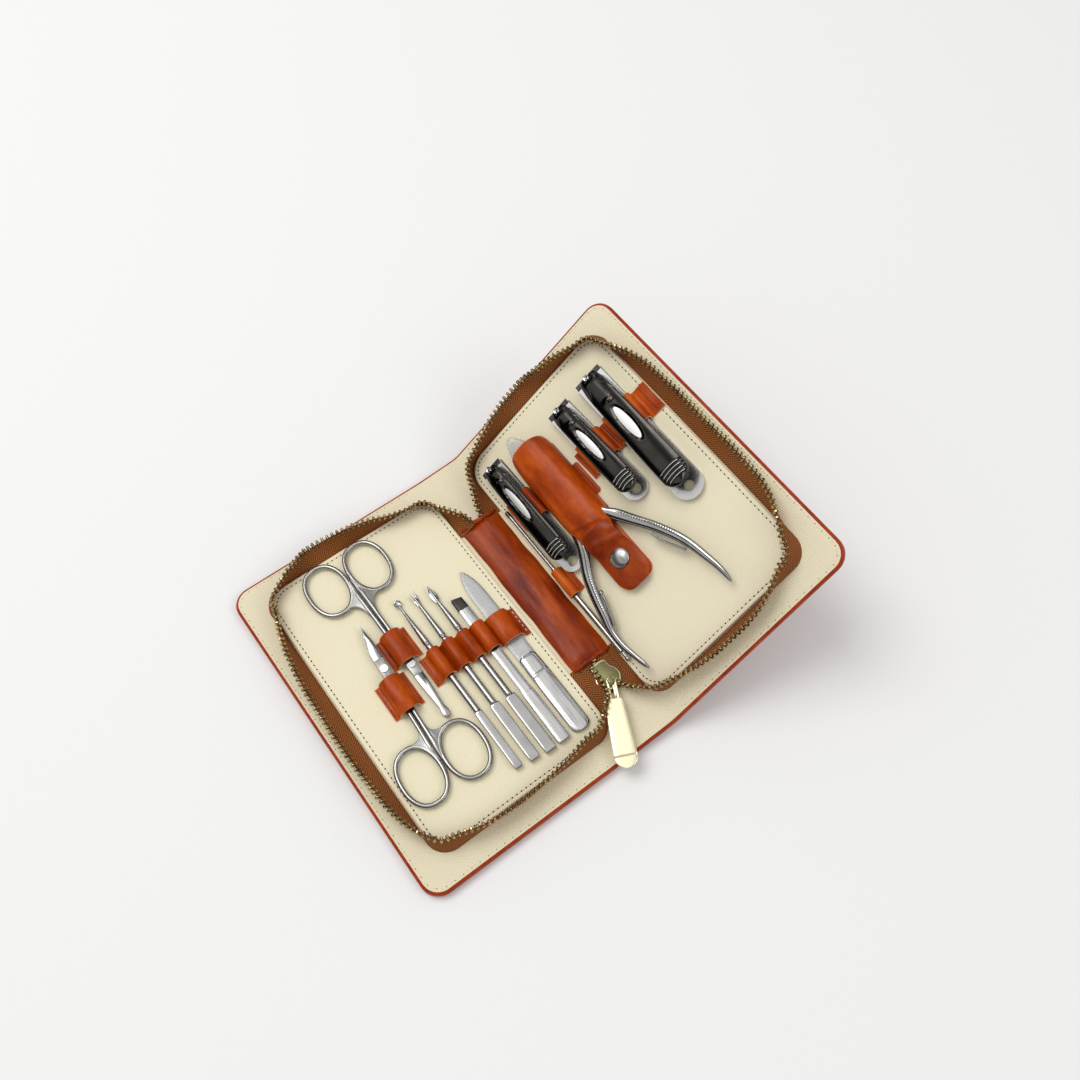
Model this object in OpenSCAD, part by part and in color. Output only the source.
// Manicure set in a zip case, lying open: the left half is flat on the table,
// the stiff spine holds the right half up. Millimetres, +Z up.
// The origin is the middle of the left half's underside, +X runs to the spine
// and the right half, +Y runs along the spine.

/* [Cover] */
// Width of each half, from its fold to its outer edge
cover_w = 106; // [96:1:120]
// Length of the case along the spine
cover_l = 170; // [160:1:190]
// Radius of the cover's outer corners
cover_r = 9; // [4:0.5:14]
// Thickness of the outer leather
leather_t = 1.2; // [0.8:0.1:2]
// Thickness of the stiff board inside each half
board_t = 2.2; // [1.4:0.1:3]
// Thickness of the twill lining
lining_t = 0.6; // [0.3:0.1:1]
// Width of the leather edge that wraps the board
rim = 1.4; // [1:0.1:3]
// Width of the spine between its two folds
spine_w = 22; // [22:0.5:30]
// Open gap left at each fold
fold_gap = 0.4; // [0.2:0.1:1]

/* [Opening angle] */
// Tilt of the spine above the table
spine_tilt = 5; // [0:1:10]
// Tilt of the right half above the table
right_tilt = 35; // [15:1:60]

/* [Tool panels] */
// Distance from the fold to the panel
panel_in = 1.3; // [1.3:0.1:3]
// Distance from the panel to the outer edge
panel_out = 12.7; // [11:0.1:16]
// Distance from the panel to the cover's top edge
panel_top = 10.8; // [10:0.1:16]
// Distance from the panel to the cover's bottom edge
panel_bottom = 13.2; // [12:0.1:18]
// Thickness of the padded panel
panel_t = 2.5; // [1.5:0.1:3]
// Corner radius of the panel
panel_r = 11.5; // [11:0.5:16]

/* [Zip] */
// Thickness of the zip tape
tape_t = 0.7; // [0.5:0.1:1]
// Width of the tape from its sewn edge to the teeth
tape_w = 9; // [8:0.1:9]
// Corner radius of the tape's sewn edge
tape_r = 8.5; // [6:0.5:11]
// Gap between the panel and the standing tape
tape_gap = 0.3; // [0.2:0.1:1]
// How far the teeth lean out at the middle of the outer side
lean_outer = 7.6; // [0:0.1:8]
// How far they lean out at the middle of the top side
lean_top = 7.4; // [0:0.1:8]
// How far they lean out at the middle of the left bottom side
lean_bottom_left = 2.6; // [0:0.1:8]
// How far they lean out at the middle of the right bottom side
lean_bottom_right = 5; // [0:0.1:8]
// How far they lean in at the corners
lean_corner = 4.2; // [0:0.1:5]
// Spacing of the teeth on one side
tooth_pitch = 2.6; // [2:0.1:4]
// Tooth size along, across and up
tooth = [1.3, 2.3, 1.85];
// Length of the slider
slider_l = 12.6; // [11:0.1:14]
// Width of the slider's shoulders
slider_w = 11; // [10:0.1:12]
// Width of the pull tab
pull_w = 11.4; // [8:0.1:12]
// Length of the pull from the slider's stud to its rounded end
pull_l = 36; // [28:0.5:38]
// Swing of the pull to the left of the spine
pull_turn = 26; // [22:1:28]

/* [Leather loops] */
// Thickness of the loop leather
loop_t = 0.9; // [0.6:0.1:1.2]
// Length of a loop along its tool
loop_l = 15.4; // [10:0.1:18]
// Slack between a loop and its tool
loop_slack = 0.4; // [0.3:0.1:1]

/* [Scissors] */
// Wire thickness of the finger rings
ring_wire = 2.2; // [1.8:0.1:2.8]
// Outer width of a finger ring
ring_w = 21; // [18:0.5:24]
// Outer length of a finger ring
ring_l = 29; // [24:0.5:32]
// Distance from the screw to the ring's far edge, scissors with the blunt tip
blunt_back = 68; // [64:0.5:72]
// Distance from the screw to the blunt tip
blunt_front = 29.5; // [26:0.5:32]
// Distance from the screw to the ring's far edge, pointed scissors
point_back = 65; // [60:0.5:68]
// Distance from the screw to the pointed tip
point_front = 24; // [20:0.5:26]

/* [Stick tools] */
// Diameter of the stick tools' shafts
shaft_d = 3.4; // [3:0.1:3.6]
// Width of the flat handles of the ear pick, fork and knife
handle_w = [3.8, 5, 5.4];
// Thickness of the flat handles
handle_t = 2.4; // [2:0.1:3]
// Length of the stick tools' flat handles
handle_l = 29; // [20:0.5:34]
// Length of the stick tools
stick_l = 97; // [88:0.5:100]
// Width of the tweezers' legs
tweezer_w = 5; // [4:0.1:5.2]
// Length of the tweezers
tweezer_l = 83.5; // [70:0.5:88]
// Width of the nail file
file_w = 7.8; // [6:0.1:8]
// Length of the nail file
file_l = 94; // [80:0.5:98]
// Length of the blemish needle
needle_l = 94; // [80:0.5:98]
// Diameter of the needle's handle
needle_d = 2.6; // [2:0.1:2.7]

/* [Clippers] */
// Large clipper: width, length from post to tail, lever length
clip_l = [15, 75.5, 69];
// Medium clipper: width, length from post to tail, lever length
clip_m = [12.4, 57.5, 54];
// Small slanted clipper: width, length from post to tail, lever length
clip_s = [11.6, 65, 58.5];
// Thickness of a clipper arm
arm_t = 1.3; // [1:0.1:1.6]
// Height of the lever over the tail of the arms
clip_h = 7.2; // [7:0.1:8]
// Diameter of the clipper posts
post_d = 3; // [2.4:0.1:3.4]
// Diameter of the hole in a clipper's tail
tail_hole = 5; // [4:0.1:6]

/* [Nippers] */
// Thickness of a nipper handle
nip_t = 3.4; // [2.8:0.1:4]
// Diameter of the nipper rivet
rivet_d = 4; // [3:0.1:5]
// Width of the sheath
sheath_w = 22.4; // [22:0.1:22.6]
// Height of the sheath over the panel
sheath_h = 9.8; // [9:0.1:10.5]
// Length of the sheath
sheath_l = 55.5; // [54:0.5:57]
// Diameter of the snap's cap
snap_d = 9.6; // [7:0.1:11]

/* [Hidden] */
$fn = 40;
cover_t = leather_t + board_t + lining_t;
fold_x = cover_w / 2;
lift = 0.1;                                   // air under a tool that lies on the panel
panel_z = cover_t + panel_t;
tool_z = panel_z + lift;
panel_x0 = panel_in - cover_w / 2;
panel_x1 = cover_w / 2 - panel_out;
panel_y0 = panel_bottom - cover_l / 2;
panel_y1 = cover_l / 2 - panel_top;

// Places of the tools: the middle of each in the frame of its half
blunt_at = [-3, 5];                           // screws of the scissors
pointed_at = [-14, 10.4];
pointed_lean = 3.1;                           // their rings lie a little to the left
stick_x = [8.2, 16, 23.8];                    // ear pick, fork and knife
stick_tip = [35.8, 34.6, 33.6];
tweezer_at = [31.2, 20.4];                    // tip of the tweezers
file_at = [41, 30.2];                         // tip of the file
needle_at = [-49.3, 42];                      // top of the needle
small_at = [-39.8, 60];                       // posts of the clippers
medium_at = [3.6, 54.4];
large_at = [24, 54.4];
small_lean = 0.6;                              // the clippers lean a little to the left
medium_lean = 2.2;
nip_at = [-21.3, 34];                         // rivet of the nippers
sheath_at = [-20.9, 0];                       // lower edge of the sheath
snap_y = -16;

leather = "#9c3f1b";
dark_leather = "#7d3318";
twill = "#e6dab8";
tape = "#6f3b1e";
brass = "#9c8a55";
gold = "#d9cc9a";
steel = "#c4c6c8";
dark_steel = "#4a4b4e";

// Frames of the spine and of the right half; the left half lies in the frame itself
module on_spine() {
    translate([fold_x, 0, cover_t]) rotate([0, -spine_tilt, 0]) translate([0, 0, -cover_t])
        children();
}
module on_right() {
    on_spine() translate([spine_w, 0, cover_t]) rotate([0, spine_tilt - right_tilt, 0])
        translate([cover_w / 2, 0, -cover_t]) children();
}
// What both halves have is drawn for the right half and mirrored for the left
module on_left() {
    mirror([1, 0, 0]) children();
}

// Rectangle with round corners, by its corners and radius
module round_rect(x0, y0, x1, y1, r) {
    translate([x0 + r, y0]) square([x1 - x0 - 2 * r, y1 - y0]);
    translate([x0, y0 + r]) square([x1 - x0, y1 - y0 - 2 * r]);
    for (x = [x0 + r, x1 - r], y = [y0 + r, y1 - r]) translate([x, y]) circle(r);
}

// Outline of a half: square at the fold, round at the outer corners
module half_outline(inset, fold_inset) {
    x0 = -cover_w / 2 + fold_gap + fold_inset;
    x1 = cover_w / 2 - inset;
    y1 = cover_l / 2 - inset;
    r = cover_r - inset;
    intersection() {
        round_rect(x0 - 2 * r, -y1, x1, y1, r);
        translate([x0, -y1]) square([x1 - x0, 2 * y1]);
    }
}

module half_cover() {
    color(leather) difference() {
        linear_extrude(leather_t + board_t) half_outline(0, 0);
        translate([0, 0, leather_t]) linear_extrude(board_t + 1) half_outline(rim, rim);
    }
}
module half_board() {
    color("#8f8f8f") translate([0, 0, leather_t]) linear_extrude(board_t) half_outline(rim, rim);
}
module half_lining() {
    color(twill) translate([0, 0, leather_t + board_t]) linear_extrude(lining_t)
        half_outline(lining_t, 0);
}
module half_panel() {
    color(twill) translate([0, 0, cover_t]) linear_extrude(panel_t)
        round_rect(panel_x0, panel_y0, panel_x1, panel_y1, panel_r);
}

module cover_left() { on_left() half_cover(); }
module cover_right() { on_right() half_cover(); }
module board_left() { on_left() half_board(); }
module board_right() { on_right() half_board(); }
module lining_left() { on_left() half_lining(); }
module lining_right() { on_right() half_lining(); }
module panel_left() { on_left() half_panel(); }
module panel_right() { on_right() half_panel(); }

// The spine is padded leather, as thick as the boards
module cover_spine() {
    color(leather) on_spine() translate([fold_gap, -cover_l / 2, 0])
        cube([spine_w - 2 * fold_gap, cover_l, leather_t + board_t]);
}
module lining_spine() {
    color(twill) on_spine()
        translate([fold_gap, lining_t - cover_l / 2, leather_t + board_t])
            cube([spine_w - 2 * fold_gap, cover_l - 2 * lining_t, lining_t]);
}

// Leather facing between the panels, with a folded edge at each end
facing_x = [1.5, spine_w - 1.5];
facing_y = [-41, 49];
fold_roll = 1.1;
module spine_leather() {
    width = facing_x[1] - facing_x[0];
    color(dark_leather) on_spine() translate([facing_x[0], 0, cover_t]) {
        translate([0, facing_y[0] + fold_roll, 0])
            cube([width, facing_y[1] - facing_y[0] - 2 * fold_roll, loop_t]);
        for (y = [facing_y[0] + fold_roll, facing_y[1] - fold_roll])
            translate([1.6, y, fold_roll]) rotate([0, 90, 0])
                cylinder(h = width - 3.2, r = fold_roll);
    }
}

// Standing zip tape of a half. Its sewn edge follows the panel. Each station is
// a point of the sewn edge, the outward direction there, and the lean of the teeth.
tape_x0 = panel_x0 - tape_gap - tape_t / 2;
tape_x1 = panel_x1 + tape_gap + tape_t / 2;
tape_y0 = panel_y0 - tape_gap - tape_t / 2;
tape_y1 = panel_y1 + tape_gap + tape_t / 2;
lean_end = -1.4;                              // lean where a side runs into its corner
side_steps = 12;
corner_steps = 6;
function lean_side(q, most) = lean_end + (most - lean_end) * pow(sin(180 * q), 0.7);
function lean_turn(q) = lean_end - (lean_corner + lean_end) * sin(180 * q);
function side(from, to, out, most) =
    [for (i = [0 : side_steps - 1]) let (q = i / side_steps)
        [from + (to - from) * q, out, lean_side(q, most)]];
function turn(middle, start, sweep, q0, q1) =
    [for (i = [0 : corner_steps - 1]) let (q = i / corner_steps, a = start + sweep * q)
        [middle + tape_r * [cos(a), sin(a)], [cos(a), sin(a)], lean_turn(q0 + (q1 - q0) * q)]];
function stations(lean_bottom) = let (
        xa = tape_x0 + tape_r, xb = tape_x1 - tape_r,
        ya = tape_y0 + tape_r, yb = tape_y1 - tape_r)
    concat(
        turn([xa, ya], 250, 20, 0.75, 1),
        side([xa, tape_y0], [xb, tape_y0], [0, -1], lean_bottom),
        turn([xb, ya], 270, 90, 0, 1),
        side([tape_x1, ya], [tape_x1, yb], [1, 0], lean_outer),
        turn([xb, yb], 0, 90, 0, 1),
        side([xb, tape_y1], [xa, tape_y1], [0, 1], lean_top),
        turn([xa, yb], 90, 38, 0, 0.45));
function tape_rise(lean) = sqrt(tape_w * tape_w - lean * lean);
function tape_top(s) = [s[0].x + s[1].x * s[2], s[0].y + s[1].y * s[2], cover_t + tape_rise(s[2])];

module half_tape(lean_bottom) {
    st = stations(lean_bottom);
    n = len(st);
    // the wall is as thick at every lean, so its foot grows outward as it leans
    points = [for (s = st) let (top = tape_top(s), lean = asin(s[2] / tape_w),
            out = [s[1].x, s[1].y, 0], foot = [s[0].x, s[0].y, cover_t],
            d = (out * cos(lean) - [0, 0, sin(lean)]) * tape_t / 2)
        each [foot - out * tape_t / 2, foot + out * (tape_t / cos(lean) - tape_t / 2),
            top + d, top - d]];
    walls = [for (i = [0 : n - 2], k = [0 : 3]) let (a = 4 * i + k, b = 4 * i + (k + 1) % 4)
        each [[a, b, b + 4], [a, b + 4, a + 4]]];
    last = 4 * (n - 1);
    color(tape) polyhedron(points, concat([[3, 2, 1], [3, 1, 0]], walls,
        [[last, last + 1, last + 2], [last, last + 2, last + 3]]));
}
module zip_tape_left() { on_left() half_tape(lean_bottom_left); }
module zip_tape_right() { on_right() half_tape(lean_bottom_right); }

// A row of separate teeth stands on the tape's edge, evenly spaced along it
tooth_lift = 0.1;
module half_teeth(lean_bottom) {
    st = stations(lean_bottom);
    tops = [for (s = st) tape_top(s)];
    n = len(tops);
    run = [for (i = 0, s = 0; i < n; s = s + (i + 1 < n ? norm(tops[i + 1] - tops[i]) : 0),
        i = i + 1) s];
    xs = [for (i = [0 : n - 1]) [run[i], tops[i].x]];
    ys = [for (i = [0 : n - 1]) [run[i], tops[i].y]];
    zs = [for (i = [0 : n - 1]) [run[i], tops[i].z]];
    leans = [for (i = [0 : n - 1]) [run[i], st[i][2]]];
    step = tooth[0] / 2;
    count = floor((run[n - 1] - 2 * step) / tooth_pitch);
    color(brass) for (k = [0 : count]) {
        s = step + k * tooth_pitch;
        heading = atan2(lookup(s + step, ys) - lookup(s - step, ys),
            lookup(s + step, xs) - lookup(s - step, xs));
        lean = asin(lookup(s, leans) / tape_w);
        translate([lookup(s, xs), lookup(s, ys), lookup(s, zs)])
            rotate([0, 0, heading]) rotate([lean, 0, 0])
                translate([-tooth[0] / 2, -tooth[1] / 2, tooth_lift]) cube(tooth);
    }
}
module zip_teeth_left() { on_left() half_teeth(lean_bottom_left); }
module zip_teeth_right() { on_right() half_teeth(lean_bottom_right); }

// Flat ends of the zip on the spine: the closed piece under the slider, and the
// two tape tails at the other end
chain_y = [-61, facing_y[0] - 0.1];
tail_y = [facing_y[1] + 0.1, 59];
mid = spine_w / 2;
chain_teeth_w = 4.4;
chain_flat = 4.6;                             // half width of the raised middle
chain_z = cover_t + 1.2;
chain_tooth_h = 1;
chain_open = [chain_y[0], -50.4];             // the two rows part round the slider's wedge
module chain_half(y0, y1, inner) {
    for (m = [0, 1]) mirror([m, 0, 0]) translate([0, y1, 0]) rotate([90, 0, 0])
        linear_extrude(y1 - y0) polygon([[-mid + 0.6, cover_t], [-mid + 2, cover_t],
            [-chain_flat, chain_z], [-inner, chain_z], [-inner, chain_z + tape_t],
            [-chain_flat, chain_z + tape_t], [-mid + 2.4, cover_t + 0.8],
            [-mid + 0.6, cover_t + 0.8]]);
}
module zip_chain() {
    on_spine() translate([mid, 0, 0]) {
        color(tape) {
            chain_half(chain_open[0], chain_open[1], 1.7);
            chain_half(chain_open[1], chain_y[1], 0);
            for (m = [0, 1]) mirror([m, 0, 0]) translate([0, 0, cover_t])
                linear_extrude(tape_t) polygon([[-mid + 0.8, tail_y[0]], [-0.6, tail_y[0]],
                    [-4.5, tail_y[1]], [-mid + 0.8, tail_y[1]]]);
        }
        color(brass) for (y = [chain_y[1] - 1 : -tooth_pitch / 2 : chain_open[1] + 0.6])
            translate([-chain_teeth_w / 2, y - tooth_pitch / 4, chain_z + tape_t])
                cube([chain_teeth_w, tooth_pitch / 2 - 0.25, chain_tooth_h]);
    }
}

// Slider: two plates round the chain, joined by a wedge between the open rows,
// with a headed stud for the link
slider_y = -44.6;                             // its narrow end
slider_plate = 0.9;
slider_top = chain_z + tape_t + chain_tooth_h + 0.25;  // underside of the upper plate
link_z = slider_top + slider_plate + 0.08;    // underside of the link
link_t = 1;
link_l = 9.5;                                 // from the stud to the tab's pin
stud_d = 2;
stud_y = slider_y - slider_l + 2.8;
module slider_plan() {
    nose = slider_w * 0.35;
    translate([mid, slider_y]) hull() {
        for (x = [-nose + 1, nose - 1]) translate([x, -1]) circle(1);
        for (x = [-slider_w / 2 + 2, slider_w / 2 - 2]) translate([x, -slider_l * 0.62]) circle(2);
        translate([0, -slider_l + 5]) circle(5);
    }
}
module zip_slider() {
    color(gold) on_spine() {
        translate([0, 0, slider_top]) linear_extrude(slider_plate) slider_plan();
        translate([mid - chain_flat + 0.4, slider_y - slider_l + 2, cover_t + 0.1])
            cube([2 * chain_flat - 0.8, slider_l - 3, 0.9]);
        translate([mid - 1.2, slider_y - slider_l + 2, cover_t + 0.5])
            cube([2.4, 1.6, slider_top - cover_t]);
        translate([mid, stud_y, slider_top + 0.4]) {
            cylinder(h = link_z - slider_top + link_t - 0.2, d = stud_d, $fn = 32);
            translate([0, 0, link_z - slider_top + link_t - 0.32])
                cylinder(h = 0.5, d = stud_d + 1.4, $fn = 32);
        }
    }
}

// The link turns on the slider's stud and carries the tab's pin. The tab slopes
// down a little and hangs past the cover's edge.
pull_slope = 2.5;
pull_t = 1.5;
pin_d = 1.2;
knuckle_d = 2.4;
link_w = 4.4;
module on_link() {
    on_spine() translate([mid, stud_y, link_z]) rotate([0, 0, -pull_turn]) children();
}
module zip_link() {
    color(gold) on_link() {
        difference() {
            union() {
                linear_extrude(link_t) {
                    circle(d = link_w);
                    translate([-link_w / 2, -link_l + 2.6]) square([link_w, link_l - 2.6]);
                }
                for (x = [-link_w / 2, link_w / 2 - 1])
                    translate([x, -link_l, 0]) cube([1, 3.2, link_t]);
            }
            translate([0, 0, -1]) cylinder(h = 4, d = stud_d + 0.1, $fn = 32);
        }
        translate([-link_w / 2, -link_l, link_t / 2]) rotate([0, 90, 0])
            cylinder(h = link_w, d = pin_d, $fn = 24);
    }
}
module zip_pull() {
    eye_w = link_w - 2.3;
    tab_from = knuckle_d / 2 + 0.4;
    tab_l = pull_l - link_l;
    color(gold) on_link() translate([0, -link_l, link_t / 2]) rotate([pull_slope, 0, 0])
        difference() {
            union() {
                rotate([0, 90, 0]) cylinder(h = eye_w, d = knuckle_d, center = true, $fn = 32);
                translate([-eye_w / 2, -tab_from - 0.5, -pull_t / 2])
                    cube([eye_w, tab_from + 0.5, pull_t]);
                translate([0, 0, -pull_t / 2]) linear_extrude(pull_t) {
                    translate([-pull_w / 2, -tab_l + 5]) square([pull_w, tab_l - 5 - tab_from]);
                    intersection() {
                        translate([0, -tab_l + 7]) circle(7);
                        translate([-pull_w / 2, -tab_l]) square([pull_w, 8]);
                    }
                }
            }
            rotate([0, 90, 0]) cylinder(h = link_w, d = pin_d + 0.1, center = true, $fn = 24);
            translate([-pull_w, -tab_l + 6.2, pull_t / 2 - 0.2]) cube([2 * pull_w, 0.5, 1]);
        }
}

// Arch of loop leather over a tool, drawn in X and Z and run along Y. The inner
// space is a segment of a circle, width w and height h.
module arch_section(w, h, left_flange, right_flange) {
    r = (w * w / 4 + h * h) / (2 * h);
    difference() {
        intersection() {
            translate([0, h - r]) circle(r + loop_t, $fn = 72);
            translate([-w, 0]) square([2 * w, h + loop_t + 1]);
        }
        translate([0, h - r]) circle(r, $fn = 72);
    }
    foot = w / 2 + loop_t / 2;
    if (left_flange > 0) translate([-foot - left_flange, 0]) square([left_flange, loop_t]);
    if (right_flange > 0) translate([foot, 0]) square([right_flange, loop_t]);
}
module arch(x, y_low, length, w, h, left_flange, right_flange) {
    translate([x, y_low + length, panel_z]) rotate([90, 0, 0]) linear_extrude(length)
        arch_section(w, h, left_flange, right_flange);
}

scissor_h = 3.2;                              // height of closed scissors
shank_w = 4.4;
loop_w = shank_w + 4.8;                       // the arch's foot, wide of the shanks
loop_flange = 2.4;
module blunt_loop() {
    color(leather) arch(blunt_at.x - 0.2, blunt_at.y + 0.7, loop_l + 2.4, loop_w,
        scissor_h + 1.8, loop_flange, loop_flange);
}
module pointed_loop() {
    color(leather) arch(pointed_at.x - 1.2, pointed_at.y - 23, loop_l + 2.6, loop_w,
        scissor_h + 1.8, loop_flange, loop_flange);
}
// One strip of leather makes five loops, each a step lower than the last
stick_loop_w = shaft_d + 2.1;
tweezer_loop_w = tweezer_w + 1.4;
file_loop_w = file_w + 2.3;
strip_x = concat(stick_x, [tweezer_at.x, file_at.x]);
strip_y = [-9.7, -10, -10.6, -11.2, -12.4];
strip_w = [stick_loop_w, stick_loop_w, stick_loop_w, tweezer_loop_w, file_loop_w];
strip_h = [shaft_d + 0.8, shaft_d + 0.8, shaft_d + 0.8, 4.8, 3.6];
module stick_loops() {
    color(leather) {
        for (i = [0 : 4]) arch(strip_x[i], strip_y[i], loop_l, strip_w[i], strip_h[i], 0, 0);
        for (i = [0 : 3]) {
            x0 = strip_x[i] + strip_w[i] / 2;
            x1 = strip_x[i + 1] - strip_w[i + 1] / 2;
            if (x1 > x0) translate([x0, strip_y[i + 1], panel_z]) cube([x1 - x0, loop_l, loop_t]);
        }
        translate([strip_x[0] - strip_w[0] / 2 - 4.8, strip_y[0] - 0.6, panel_z])
            cube([4.8, loop_l, loop_t]);
        translate([strip_x[4] + strip_w[4] / 2, strip_y[4] - 1.4, panel_z])
            cube([3, loop_l, loop_t]);
    }
}

module needle_loop() {
    color(leather) on_right() arch(needle_at.x + 0.4, -12.6, loop_l, 3.8, needle_d + 0.7, 0, 1);
}

// Half of a pair of scissors about its screw, in the frame of the pair: the ring
// is on the side that dir says, the blade is on the other face of the joint.
ring_r = (ring_w - ring_wire) / 2;
ring_straight = (ring_l - ring_w) / 2;
half_t = scissor_h / 2 - 0.05;
screw_d = 2;
screw_head = 3.6;
shank_gap = 0.15;
module finger_ring() {
    for (m = [0, 1]) mirror([0, m, 0]) {
        translate([0, ring_straight, 0]) rotate_extrude(angle = 180)
            translate([ring_r, 0]) circle(d = ring_wire, $fn = 20);
        for (x = [-ring_r, ring_r]) translate([x, 0, 0]) rotate([-90, 0, 0])
            cylinder(h = ring_straight, d = ring_wire, $fn = 20);
    }
}
module scissor_half(back, blade, upper, dir) {
    face_z = upper ? half_t + 0.1 : 0;
    ring_y = back - ring_l / 2;
    ring_x = dir * (ring_w / 2 + 0.3);
    web_y = ring_y - ring_l * 0.62;
    difference() {
        union() {
            translate([0, 0, face_z]) linear_extrude(half_t) {
                translate([-shank_w / 2, -3.6]) square([shank_w, 8]);
                polygon(blade);
            }
            translate([dir > 0 ? shank_gap : -shank_w / 2, 4.9, 0])
                cube([shank_w / 2 - shank_gap, web_y - 4.9, scissor_h]);
            translate([dir > 0 ? shank_gap : -shank_w / 2, 3.9, face_z])
                cube([shank_w / 2 - shank_gap, 1.4, half_t]);
        }
        translate([0, 0, -1]) cylinder(h = scissor_h + 2,
            d = upper ? screw_d + 0.1 : screw_d, $fn = 32);
    }
    translate([ring_x, ring_y, scissor_h / 2]) finger_ring();
    hull() {
        translate([dir * shank_w / 4 + dir * shank_gap, web_y, 0.4])
            cylinder(h = scissor_h - 0.8, d = shank_w / 2 - shank_gap, $fn = 20);
        translate([dir * (shank_gap + 1.1), ring_y - ring_l * 0.18, 0.7])
            cylinder(h = scissor_h - 1.4, d = 1.6, $fn = 20);
        translate([ring_x - dir * ring_r * 0.42, ring_y - ring_l * 0.41, 0.7])
            cylinder(h = scissor_h - 1.4, d = 1.6, $fn = 20);
    }
}
module scissor_screw() {
    cylinder(h = scissor_h, d = screw_d, $fn = 32);
    translate([0, 0, scissor_h + 0.05]) difference() {
        cylinder(h = 0.5, d = screw_head, $fn = 32);
        translate([-screw_head, -0.25, 0.25]) cube([2 * screw_head, 0.5, 1]);
    }
    translate([0, 0, scissor_h - 0.1]) cylinder(h = 0.2, d = screw_d, $fn = 32);
}
blunt_blade = [[-2.6, -3], [2.6, -3], [2.5, -10], [1.6, -blunt_front + 10],
    [1.1, -blunt_front + 5.6], [1.9, -blunt_front + 2.4], [1.8, -blunt_front + 0.9],
    [0.8, -blunt_front], [-0.9, -blunt_front], [-1.9, -blunt_front + 0.9],
    [-2, -blunt_front + 2.4], [-1.4, -blunt_front + 5.6], [-2, -blunt_front + 11], [-2.6, -9]];
module on_blunt() { translate([blunt_at.x, blunt_at.y, tool_z]) children(); }
module blunt_lower() { color(steel) on_blunt() scissor_half(blunt_back, blunt_blade, false, -1); }
module blunt_upper() { color(steel) on_blunt() scissor_half(blunt_back, blunt_blade, true, 1); }
module blunt_screw() { color(steel) on_blunt() scissor_screw(); }

point_blade = [[-2.6, 3], [-2.7, -point_front + 17], [-2.3, -point_front + 12],
    [-1.2, -point_front + 5], [1.2, -point_front], [1.9, -point_front + 1], [2.4, -point_front + 6],
    [2.6, -point_front + 13], [2.6, 3]];
module on_pointed() {
    translate([pointed_at.x, pointed_at.y, tool_z]) rotate([0, 0, -pointed_lean])
        mirror([0, 1, 0]) children();
}
module pointed_lower() {
    color(steel) on_pointed() scissor_half(point_back, point_blade, false, 1);
}
module pointed_upper() {
    color(steel) on_pointed() scissor_half(point_back, point_blade, true, -1);
}
module pointed_screw() { color(steel) on_pointed() scissor_screw(); }

// Stick tools: a tapered neck, a round shaft and a flat handle. Drawn with the
// tip at the origin and the handle towards -Y.
neck_l = 27;
collar_l = 4;
module stick(tip_d, w) {
    z = shaft_d / 2;
    translate([0, 0, z]) rotate([90, 0, 0]) {
        translate([0, 0, 3]) cylinder(h = neck_l - 3, d1 = tip_d, d2 = shaft_d - 0.5);
        translate([0, 0, neck_l]) cylinder(h = collar_l, d1 = shaft_d - 0.4, d2 = shaft_d);
        translate([0, 0, neck_l + collar_l])
            cylinder(h = stick_l - neck_l - collar_l - handle_l, d = shaft_d);
    }
    intersection() {
        translate([-w / 2, -stick_l, z - handle_t / 2]) cube([w, handle_l + 3, handle_t]);
        union() {
            translate([-w / 2, -stick_l, -1]) cube([w, handle_l - 1, shaft_d + 2]);
            translate([0, -stick_l + handle_l - 1, -1])
                cylinder(h = shaft_d + 2, d = w);
        }
    }
}
module on_stick(i) { translate([stick_x[i], stick_tip[i], tool_z]) children(); }
module ear_pick() {
    color(steel) on_stick(0) {
        stick(1.5, handle_w[0]);
        translate([0, -1.9, shaft_d / 2]) rotate([20, 0, 0]) difference() {
            cylinder(h = 1.2, d = 3.6, center = true);
            translate([0, 0, 0.3]) cylinder(h = 1, d = 2.6);
        }
        translate([0, -3.2, shaft_d / 2]) sphere(d = 1.6, $fn = 24);
    }
}
module cuticle_fork() {
    color(steel) on_stick(1) {
        stick(1.8, handle_w[1]);
        translate([0, 0, shaft_d / 2 - 0.5]) linear_extrude(1) polygon([[-1.9, 0], [-1.2, -0.2],
            [0, -3.2], [1.2, -0.2], [1.9, 0], [1.6, -5], [0.9, -7.5], [-0.9, -7.5], [-1.6, -5]]);
    }
}
module cuticle_knife() {
    color(steel) on_stick(2) {
        stick(1.6, handle_w[2]);
        translate([0, 0, shaft_d / 2 - 0.5]) linear_extrude(1) polygon([[0, 0], [0.9, -2],
            [2, -6], [1.9, -8], [0.8, -10.5], [-0.8, -10.5], [-1.9, -8], [-2, -6], [-0.9, -2]]);
    }
}

// Tweezers: two leaves, one over the other, joined at the back
leaf_t = 1;
tweezer_open = 0.9;
tweezer_joint = 10;
module leaf_plan() {
    polygon([[-tweezer_w / 2, 0], [tweezer_w / 2, -1.3], [tweezer_w / 2 + 0.2, -15],
        [tweezer_w / 2, -28], [tweezer_w / 2, -56], [tweezer_w / 2 + 0.6, -tweezer_l],
        [-tweezer_w / 2 - 0.6, -tweezer_l], [-tweezer_w / 2, -56], [-tweezer_w / 2, -28],
        [-tweezer_w / 2 - 0.2, -15]]);
}
module on_tweezers() { translate([tweezer_at.x, tweezer_at.y, tool_z]) children(); }
module tweezer_lower() {
    color(steel) on_tweezers() {
        linear_extrude(leaf_t) leaf_plan();
        translate([-tweezer_w / 2, -tweezer_l, leaf_t]) cube([tweezer_w, tweezer_joint - 0.3,
            tweezer_open]);
    }
}
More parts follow.
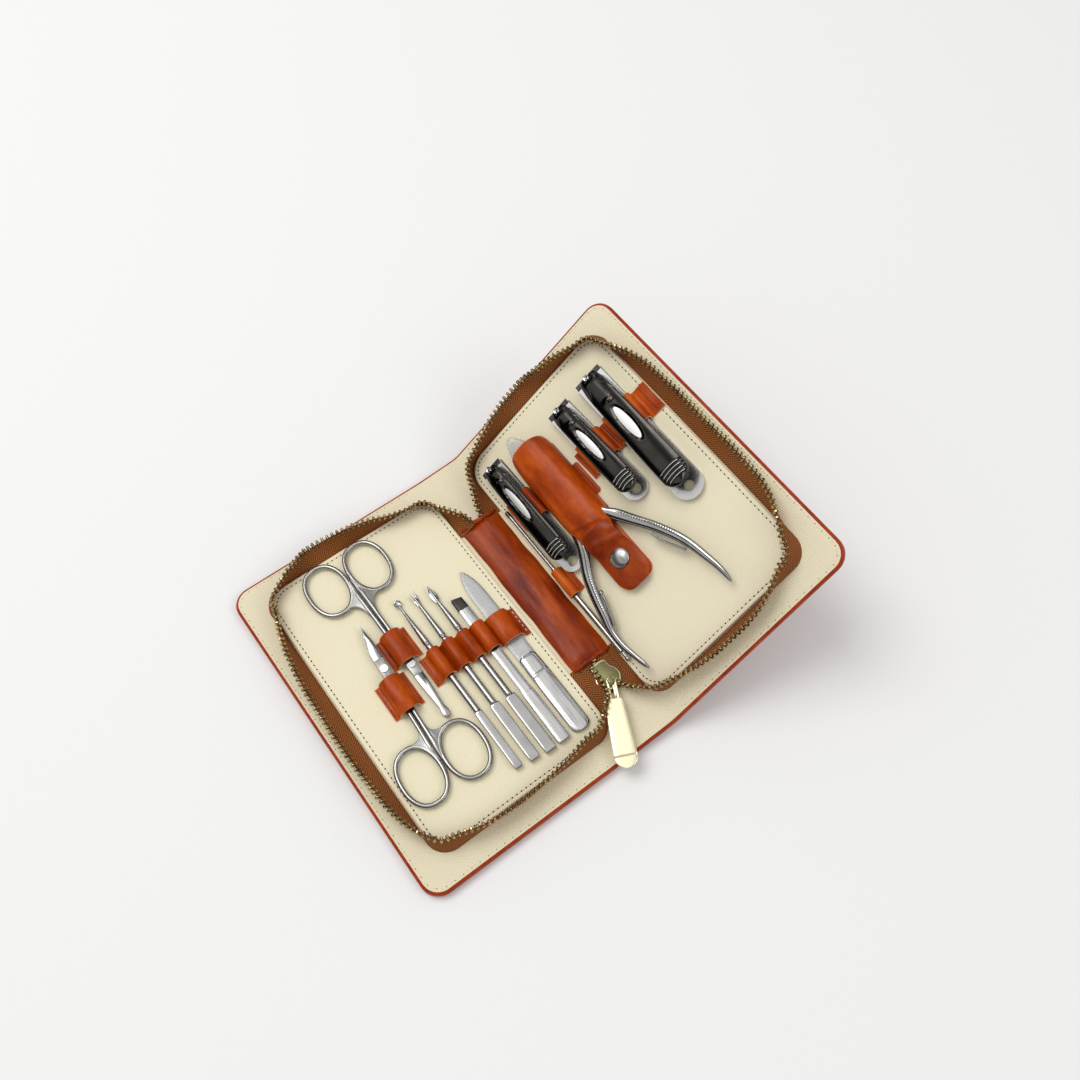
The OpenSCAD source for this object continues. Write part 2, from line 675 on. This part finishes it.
module tweezer_upper() {
    color(steel) on_tweezers() translate([0, 0, leaf_t + tweezer_open]) linear_extrude(leaf_t)
        leaf_plan();
}

// Nail file: a thin pointed blade and a formed handle
file_blade_l = 53;
file_handle_w = 9.2;
module nail_file() {
    color(steel) translate([file_at.x, file_at.y, tool_z]) {
        translate([0, 0, 0.3]) linear_extrude(0.9) polygon([[0, 0], [1.4, -2], [3, -7],
            [file_w / 2, -14], [file_w / 2, -file_blade_l - 2], [-file_w / 2, -file_blade_l - 2],
            [-file_w / 2, -14], [-3, -7], [-1.4, -2]]);
        linear_extrude(2.2) round_rect(-file_handle_w / 2, -file_l, file_handle_w / 2,
            -file_blade_l, 2.6);
    }
}

// Blemish needle: a thin stem with a knurled end, and a thicker handle
module needle() {
    color(steel) on_right() translate([needle_at.x, needle_at.y, tool_z + needle_d / 2])
        rotate([90, 0, 0]) {
            cylinder(h = 3.4, d = 1.9);
            cylinder(h = 38, d = 1.5);
            translate([0, 0, 37]) cylinder(h = 1.6, d1 = 1.5, d2 = needle_d);
            translate([0, 0, 38.6]) cylinder(h = needle_l - 43.6, d = needle_d);
            translate([0, 0, needle_l - 5]) cylinder(h = 3.2, d = needle_d - 0.7);
            translate([0, 0, needle_l - 1.6]) sphere(d = 2.4);
        }
}

// Clippers: drawn about the post on the panel, jaws towards +Y, tail towards -Y
jaw_y = 3.2;
arm_gap = 0.05;
arm_rise = 2.4;                               // how far the upper arm stands off at the post
tail_y0 = 10;                                 // length of the flat tail where the arms lie together
module clipper_plan(w, back, front) {
    r = w / 2;
    translate([0, -back + r]) circle(r, $fn = 64);
    translate([-w / 2, -back + r]) square([w, back - r + front]);
}
// Side outline of the upper arm: flat tail, long rise, jaw turned down
function upper_side(back, z) = [[-back, z], [-back + tail_y0, z], [-back * 0.45, z + arm_rise * 0.75],
    [0, z + arm_rise], [jaw_y - arm_t, z + arm_rise - 0.1], [jaw_y - 0.5, z + arm_rise - 0.7],
    [jaw_y, z + arm_rise - 0.7], [jaw_y, z + arm_rise + arm_t - 0.9], [0, z + arm_rise + arm_t],
    [-back * 0.45, z + arm_rise * 0.75 + arm_t], [-back + tail_y0, z + arm_t], [-back, z + arm_t]];
function lower_side(back) = [[-back, 0], [jaw_y, 0], [jaw_y, arm_t + 0.4], [jaw_y - 0.5, arm_t + 0.4],
    [jaw_y - arm_t, arm_t], [-back, arm_t]];
module from_side(outline, w) {
    rotate([90, 0, 90]) translate([0, 0, -w / 2]) linear_extrude(w) polygon(outline);
}
module arm(size, side_outline, bore) {
    w = size[0];
    back = size[1];
    difference() {
        intersection() {
            from_side(side_outline, w);
            translate([0, 0, -1]) linear_extrude(20) clipper_plan(w, back, jaw_y);
        }
        translate([0, 0, -1]) cylinder(h = 12, d = bore, $fn = 32);
        translate([0, -back + w * 0.4, -1]) cylinder(h = 12, d = tail_hole, $fn = 32);
    }
}
cross_pin_z = clip_h + 0.35;
cross_pin_d = 1.3;
module lower_arm(size) { arm(size, lower_side(size[1]), post_d + 0.1); }
module upper_arm(size) { arm(size, upper_side(size[1], arm_t + arm_gap), post_d + 0.9); }
module post() {
    translate([0, 0, 0.1]) cylinder(h = cross_pin_z + 0.8, d = post_d, $fn = 32);
    translate([0, 0, cross_pin_z]) rotate([0, 90, 0])
        cylinder(h = 6.4, d = cross_pin_d, center = true, $fn = 32);
}
// Lever: a long plate with a rounded end, forked round the post on the cross pin
lever_t = 1.5;
module lever(size) {
    w = size[0] - 2.2;
    long = size[2];
    fork_w = post_d + 0.6;
    difference() {
        union() {
            intersection() {
                from_side([[1.7, clip_h - 0.6], [1.7, clip_h + 1], [-4, clip_h + 1.5],
                    [-long * 0.5, clip_h + 1.2], [-long + 8, clip_h + 0.6],
                    [-long, clip_h + 0.2], [-long, clip_h - 0.7]], w);
                translate([0, 0, -1]) linear_extrude(20) clipper_plan(w, long, 1.7);
            }
            for (i = [0 : 2]) translate([-w / 2, -long + 5 + 2.2 * i, clip_h + 0.45 + 0.08 * i])
                rotate([0, 90, 0]) cylinder(h = w, d = 1, $fn = 20);
        }
        translate([0, 0, -1]) cylinder(h = 20, d = fork_w, $fn = 32);
        translate([-fork_w / 2, 0, -1]) cube([fork_w, 4, 20]);
        translate([0, 0, cross_pin_z]) rotate([0, 90, 0])
            cylinder(h = 6.6, d = cross_pin_d + 0.1, center = true, $fn = 32);
    }
}
module on_clipper(at, lean) {
    on_right() translate([at.x, at.y, tool_z]) rotate([0, 0, lean]) children();
}
// The slanted jaws of the small clipper are cut off on one side
module slant_cut() {
    difference() {
        children();
        translate([clip_s[0] / 2 + 1, jaw_y + 0.2, -1]) rotate([0, 0, 148])
            cube([clip_s[0] * 1.6, 8, 20]);
    }
}
module small_lower_arm() { color(steel) on_clipper(small_at, small_lean) lower_arm(clip_s); }
module small_upper_arm() { color(steel) on_clipper(small_at, small_lean) upper_arm(clip_s); }
module small_post() { color(steel) on_clipper(small_at, small_lean) post(); }
module small_lever() { color(dark_steel) on_clipper(small_at, small_lean) lever(clip_s); }
module medium_lower_arm() { color(steel) on_clipper(medium_at, medium_lean) lower_arm(clip_m); }
module medium_upper_arm() { color(steel) on_clipper(medium_at, medium_lean) upper_arm(clip_m); }
module medium_post() { color(steel) on_clipper(medium_at, medium_lean) post(); }
module medium_lever() { color(dark_steel) on_clipper(medium_at, medium_lean) lever(clip_m); }
module large_lower_arm() { color(steel) on_clipper(large_at, 0) lower_arm(clip_l); }
module large_upper_arm() { color(steel) on_clipper(large_at, 0) upper_arm(clip_l); }
module large_post() { color(steel) on_clipper(large_at, 0) post(); }
module large_lever() { color(dark_steel) on_clipper(large_at, 0) lever(clip_l); }

// Straps hold the clippers: they pass over both arms and under the lever. One
// strap holds the small clipper, and one strip holds the other two.
strap_y = -26;                                // middle of the strap from the post
strap_l = 16;
strap_h = arm_t + arm_gap + arm_rise + arm_t;
function strap_side(w) = w / 2 + loop_slack;
module strap(at, lean, w, left, right) {
    side_w = strap_side(w);
    on_clipper(at, lean) translate([0, strap_y + strap_l / 2, -lift])
        rotate([90, 0, 0]) linear_extrude(strap_l) {
            difference() {
                translate([-side_w - loop_t, 0]) square([2 * side_w + 2 * loop_t, strap_h + loop_t]);
                translate([-side_w, -1]) square([2 * side_w, strap_h + 1]);
            }
            translate([-side_w - loop_t - left, 0]) square([left + 0.5, loop_t]);
            translate([side_w + 0.4, 0]) square([right, loop_t]);
        }
}
module strap_small() { color(leather) strap(small_at, small_lean, clip_s[0], 0.8, 0.45); }
module strap_pair() {
    color(leather) {
        strap(medium_at, medium_lean, clip_m[0], 3.6, 3);
        strap(large_at, 0, clip_l[0], 1, 8);
    }
}

// Nippers: two halves that cross at the rivet. The outline is drawn along a bowed
// handle, from the joint to the pointed end.
nip_z = tool_z + 2.92;
nip_half = nip_t / 2 - 0.05;
jaw_lean = 5;                                 // the jaws point a little to the left
function bowed(points, widths) = concat(
    [for (i = [0 : len(points) - 1]) points[i] - [widths[i] / 2, 0]],
    [for (i = [len(points) - 1 : -1 : 0]) points[i] + [widths[i] / 2, 0]]);
left_handle = bowed([[-1, -2], [-2.6, -7], [-8.6, -27], [-13.8, -38], [-18.6, -47.5], [-22.6, -56.5],
    [-24.6, -65], [-25.2, -73], [-24.6, -81], [-23.4, -88], [-22, -95.4]],
    [6, 6.6, 5.6, 5.2, 5, 4.8, 4.4, 4, 3.4, 2.6, 0.9]);
right_handle = bowed([[1, -2], [2.6, -7], [11.8, -27.6], [18.4, -39.6], [24, -50.2], [28, -60],
    [30.2, -69], [31.2, -77], [31.9, -84.4], [31.8, -89.6], [31.3, -93]],
    [6, 6.6, 5.6, 5.4, 5.2, 5, 4.4, 3.8, 3.2, 2.4, 1.2]);
module on_nippers() { on_right() translate([nip_at.x, nip_at.y, nip_z]) children(); }
module nipper_half(handle, upper, dir) {
    z = upper ? nip_half + 0.1 : 0;
    difference() {
        union() {
            linear_extrude(nip_t) difference() {
                polygon(handle);
                circle(10);
            }
            translate([0, 0, z]) linear_extrude(nip_half) intersection() {
                union() {
                    circle(5.6);
                    polygon(handle);
                }
                circle(10.2);
            }
            intersection() {
                translate([0, 0, z]) linear_extrude(nip_half) rotate([0, 0, jaw_lean])
                    polygon([[-4.6, 0], [-dir * 4.6, 8], [-dir * 3.6, 16], [-dir * 0.5, 24.4],
                        [-dir * 0.1, 24.4], [-dir * 0.1, 9], [dir * 4.6, 2]]);
                from_side([[-6, 0], [9, 0], [25, nip_half - 0.6], [25, nip_half + 0.7],
                    [9, nip_t], [-6, nip_t]], 30);
            }
        }
        translate([0, 0, -1]) cylinder(h = nip_t + 2, d = upper ? rivet_d + 0.1 : rivet_d);
    }
}
module nipper_lower() { color(steel) on_nippers() nipper_half(left_handle, false, -1); }
module nipper_upper() { color(steel) on_nippers() nipper_half(right_handle, true, 1); }
module nipper_rivet() {
    color(steel) on_nippers() {
        cylinder(h = nip_t, d = rivet_d);
        translate([0, 0, nip_t + 0.05]) cylinder(h = 0.5, d = rivet_d + 1.2);
        translate([0, 0, nip_t - 0.1]) cylinder(h = 0.2, d = rivet_d);
    }
}
// Leaf springs, fixed by their lower ends inside the handles
spring_t = 0.6;
module leaf_spring(points, ball) {
    translate([0, 0, 0.6]) linear_extrude(nip_t - 1.4) polygon(points);
    translate([ball.x, ball.y, nip_t / 2 - 0.1]) sphere(d = 2.4, $fn = 24);
}
module spring_lower() {
    color(steel) on_nippers() leaf_spring([[-16.4, -56], [-17.6, -60.4], [-21.6, -70.8],
        [-22, -70.6], [-18.4, -60.2], [-17, -56.2]], [-16.8, -55]);
}
module spring_upper() {
    color(steel) on_nippers() leaf_spring([[18.4, -53.4], [20.2, -59], [25.2, -69.4],
        [25.8, -69.2], [21, -59], [19.2, -53.4]], [18.8, -52.6]);
}

// Clear guard over the nipper jaws, open towards the handles
module tip_guard() {
    color([0.9, 0.9, 0.88, 0.6]) on_nippers() translate([0, 0, nip_t / 2])
        rotate([0, 0, jaw_lean]) difference() {
            hull() {
                translate([-5.05, 12, -1.7]) cube([10.1, 5, 3.4]);
                translate([-3.6, 12, -2.3]) cube([7.2, 5, 4.6]);
                translate([0, 29.4, -1.3]) cylinder(h = 2.6, r = 2.3, $fn = 32);
            }
            hull() {
                translate([-4.6, 11, -1.45]) cube([9.2, 5.6, 2.9]);
                translate([-3.6, 11, -1.95]) cube([7.2, 5.6, 3.9]);
                translate([0, 26.6, -0.8]) cylinder(h = 1.6, r = 1.8, $fn = 32);
            }
        }
}

// Sheath: a back layer on the panel and a domed front, open at both ends. Each
// row of the front is half a rounded arch, by its place, half width and height.
back_t = 1;
sheath_rows = [[sheath_l, 0.88, 0.97], [sheath_l - 3, 0.93, 0.98], [sheath_l - 8, 0.96, 1],
    [sheath_l - 14, 0.99, 1], [sheath_l - 26, 1, 1], [sheath_l - 40, 0.99, 1],
    [sheath_l - 48, 0.96, 1], [0, 0.92, 0.98]];
sheath_slit = [21.5, 6.9];                    // the handles leave below this height, up to this place
arch_steps = 14;
function arch_ring(row, inset) = [for (i = [0 : arch_steps]) let (a = 180 * i / arch_steps,
        c = cos(a), s = sin(a))
    [(row[1] * sheath_w / 2 - inset) * sign(c) * pow(abs(c), 0.8), row[0],
        (row[2] * (sheath_h - back_t) - inset) * pow(s, 0.7)]];
module sheath_skin() {
    rows = len(sheath_rows);
    m = arch_steps + 1;
    outer = [for (r = sheath_rows) each arch_ring(r, 0)];
    inner = [for (r = sheath_rows) each arch_ring(r, loop_t)];
    o = rows * m;
    skin = [for (j = [0 : rows - 2], i = [0 : m - 2]) let (a = j * m + i, b = a + m)
        each [[a, b, a + 1], [a + 1, b, b + 1]]];
    inside = [for (f = skin) [f[0] + o, f[2] + o, f[1] + o]];
    ends = [for (i = [0 : m - 2]) let (t = (rows - 1) * m + i)
        each [[i, i + 1, i + 1 + o], [i, i + 1 + o, i + o],
            [t, t + 1 + o, t + 1], [t, t + o, t + 1 + o]]];
    feet = [for (j = [0 : rows - 2], s = [0, m - 1]) let (a = j * m + s, b = a + m)
        each s == 0 ? [[a, a + o, b + o], [a, b + o, b]] : [[a, b + o, a + o], [a, b, b + o]]];
    polyhedron(concat(outer, inner), concat(skin, inside, ends, feet));
}
module sheath_front() {
    difference() {
        sheath_skin();
        translate([-sheath_w, -1, -1]) cube([2 * sheath_w, sheath_slit[0] + 1, sheath_slit[1]]);
    }
}
tab_w = 17.6;
flap_y = [-31, 1.5];
module on_sheath() { on_right() translate([sheath_at.x, sheath_at.y, panel_z]) children(); }
module nipper_sheath() {
    color(leather) on_sheath() {
        linear_extrude(back_t) {
            round_rect(-sheath_w / 2 + 0.2, -2, sheath_w / 2 - 0.2, sheath_l - 6, 3);
            round_rect(-tab_w / 2, flap_y[0] + 1, tab_w / 2, 2, 4.5);
            translate([sheath_w / 2 - 1, 14.6]) square([3.6, 19]);
        }
        translate([0, 0, back_t]) sheath_front();
    }
}

// Flap: hinged at the sheath's mouth, slopes down between the handles to the snap
flap_t = 1.1;
flap_high = sheath_h - 0.4;
flap_low = back_t + 1.9;
flap_r = 4.5;
function flap_corner(side, from) = [for (i = [0 : 8]) let (a = from + 90 * i / 8)
    [side * (tab_w / 2 - flap_r) + flap_r * cos(a), flap_y[0] + flap_r + flap_r * sin(a)]];
flap_plan = concat([[tab_w / 2 + 1.6, 0], [-tab_w / 2 - 1.6, 0], [-tab_w / 2, -9]],
    flap_corner(-1, 180), flap_corner(1, 270), [[tab_w / 2, -9]]);
module sheath_flap() {
    color(leather) on_sheath() difference() {
        intersection() {
            from_side([[-0.4, flap_high], [-0.4, flap_high - flap_t], [-8, flap_low + 2.6],
                [-11.5, flap_low], [flap_y[0], flap_low], [flap_y[0], flap_low + flap_t],
                [-11.2, flap_low + flap_t], [-7, flap_low + 2.6 + flap_t]], tab_w + 4);
            linear_extrude(20) polygon(flap_plan);
        }
        translate([0, snap_y, 0]) cylinder(h = 20, d = 3);
    }
}
module snap_cap() {
    rise = 2.3;
    r = (snap_d * snap_d / 4 + rise * rise) / (2 * rise);
    color(steel) on_sheath() translate([0, snap_y, 0]) {
        translate([0, 0, flap_low + flap_t]) intersection() {
            translate([0, 0, rise - r]) sphere(r, $fn = 64);
            cylinder(h = rise + 1, d = snap_d);
        }
        translate([0, 0, flap_low - 0.3]) cylinder(h = flap_t + 0.4, d = 2.9);
    }
}
module snap_stud() {
    color(steel) on_sheath() translate([0, snap_y, back_t]) {
        cylinder(h = 0.5, d = 6);
        cylinder(h = flap_low - back_t - 0.5, d = 3.4);
    }
}

cover_left();
cover_spine();
cover_right();
board_left();
board_right();
lining_left();
lining_spine();
lining_right();
panel_left();
panel_right();
spine_leather();
zip_tape_left();
zip_tape_right();
zip_teeth_left();
zip_teeth_right();
zip_chain();
zip_slider();
zip_link();
zip_pull();
blunt_loop();
pointed_loop();
stick_loops();
needle_loop();
strap_small();
strap_pair();
nipper_sheath();
sheath_flap();
snap_cap();
snap_stud();
blunt_lower();
blunt_upper();
blunt_screw();
pointed_lower();
pointed_upper();
pointed_screw();
ear_pick();
cuticle_fork();
cuticle_knife();
tweezer_lower();
tweezer_upper();
nail_file();
needle();
small_lower_arm();
small_upper_arm();
small_post();
small_lever();
medium_lower_arm();
medium_upper_arm();
medium_post();
medium_lever();
large_lower_arm();
large_upper_arm();
large_post();
large_lever();
nipper_lower();
nipper_upper();
nipper_rivet();
spring_lower();
spring_upper();
tip_guard();
